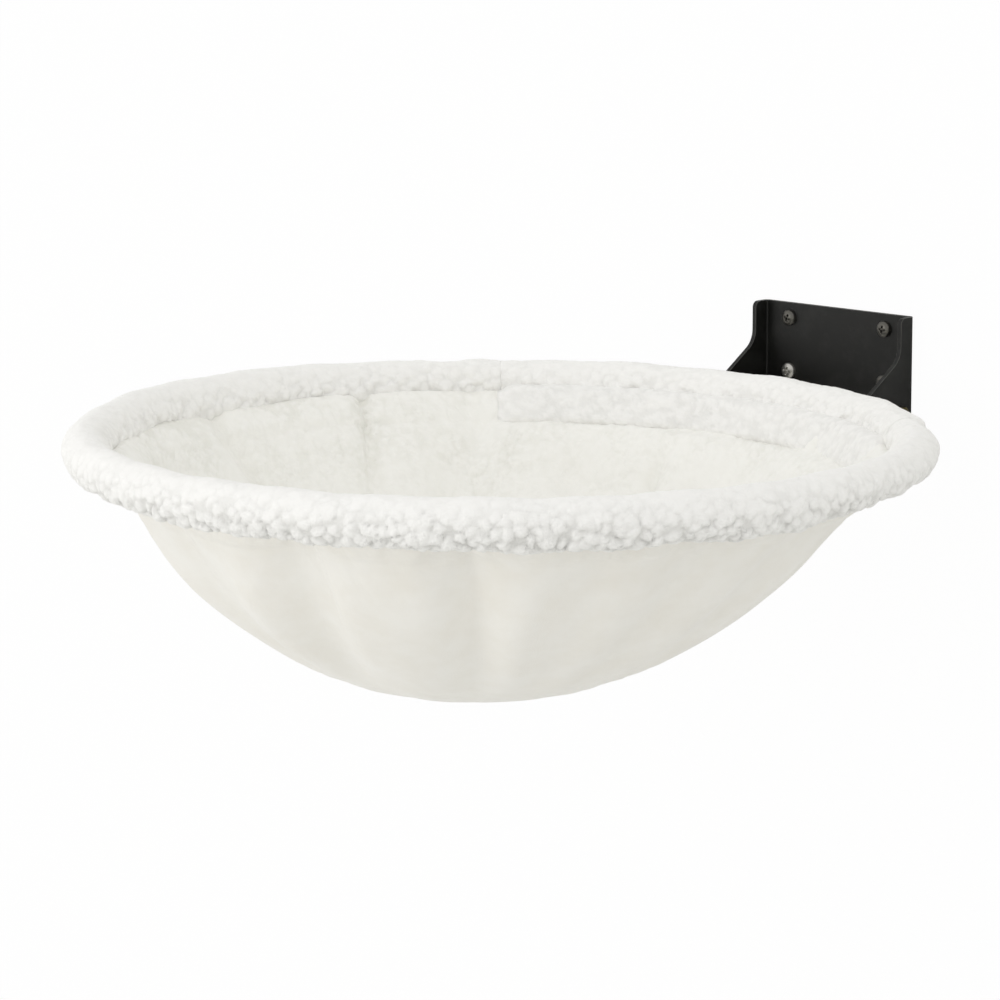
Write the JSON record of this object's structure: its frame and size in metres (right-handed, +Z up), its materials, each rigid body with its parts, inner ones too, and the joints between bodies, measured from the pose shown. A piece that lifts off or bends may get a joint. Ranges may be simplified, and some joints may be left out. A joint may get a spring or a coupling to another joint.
{
  "type": "wall-mounted cat hammock",
  "caption": "Round fleece bowl hammock for a cat, hung from a steel hoop that is bolted to a bent steel wall bracket.",
  "frame": {"origin": "on the wall, at the centre of the pattern of wall screws, at the bracket's back face", "axes": "+Y into the wall, +Z up, +X to the right for someone who faces the wall"},
  "size_m": [0.4494, 0.5406, 0.1704],
  "materials": {
    "black_powder_coat": "satin",
    "hoop_steel": "satin",
    "zinc_black_screw": "satin",
    "zinc_olive_bolt": "satin",
    "sherpa_fleece": "matte",
    "smooth_fleece": "matte",
    "hook_and_loop": "matte"
  },
  "bodies": {
    "root": {"wall_bracket": "black_powder_coat", "wall_screws": "zinc_black_screw", "hoop_rear_tube": "hoop_steel", "hoop_front_tube": "hoop_steel", "arm_plate_right": "hoop_steel", "arm_plate_left": "hoop_steel", "arm_bolts": "zinc_olive_bolt", "arm_nuts": "zinc_olive_bolt", "bowl_shell": "smooth_fleece", "bowl_lining": "sherpa_fleece", "rim_sleeve": "sherpa_fleece", "rim_closure": "sherpa_fleece", "closure_loop_tape": "hook_and_loop", "closure_hook_tape": "hook_and_loop"}
  },
  "joints": []
}
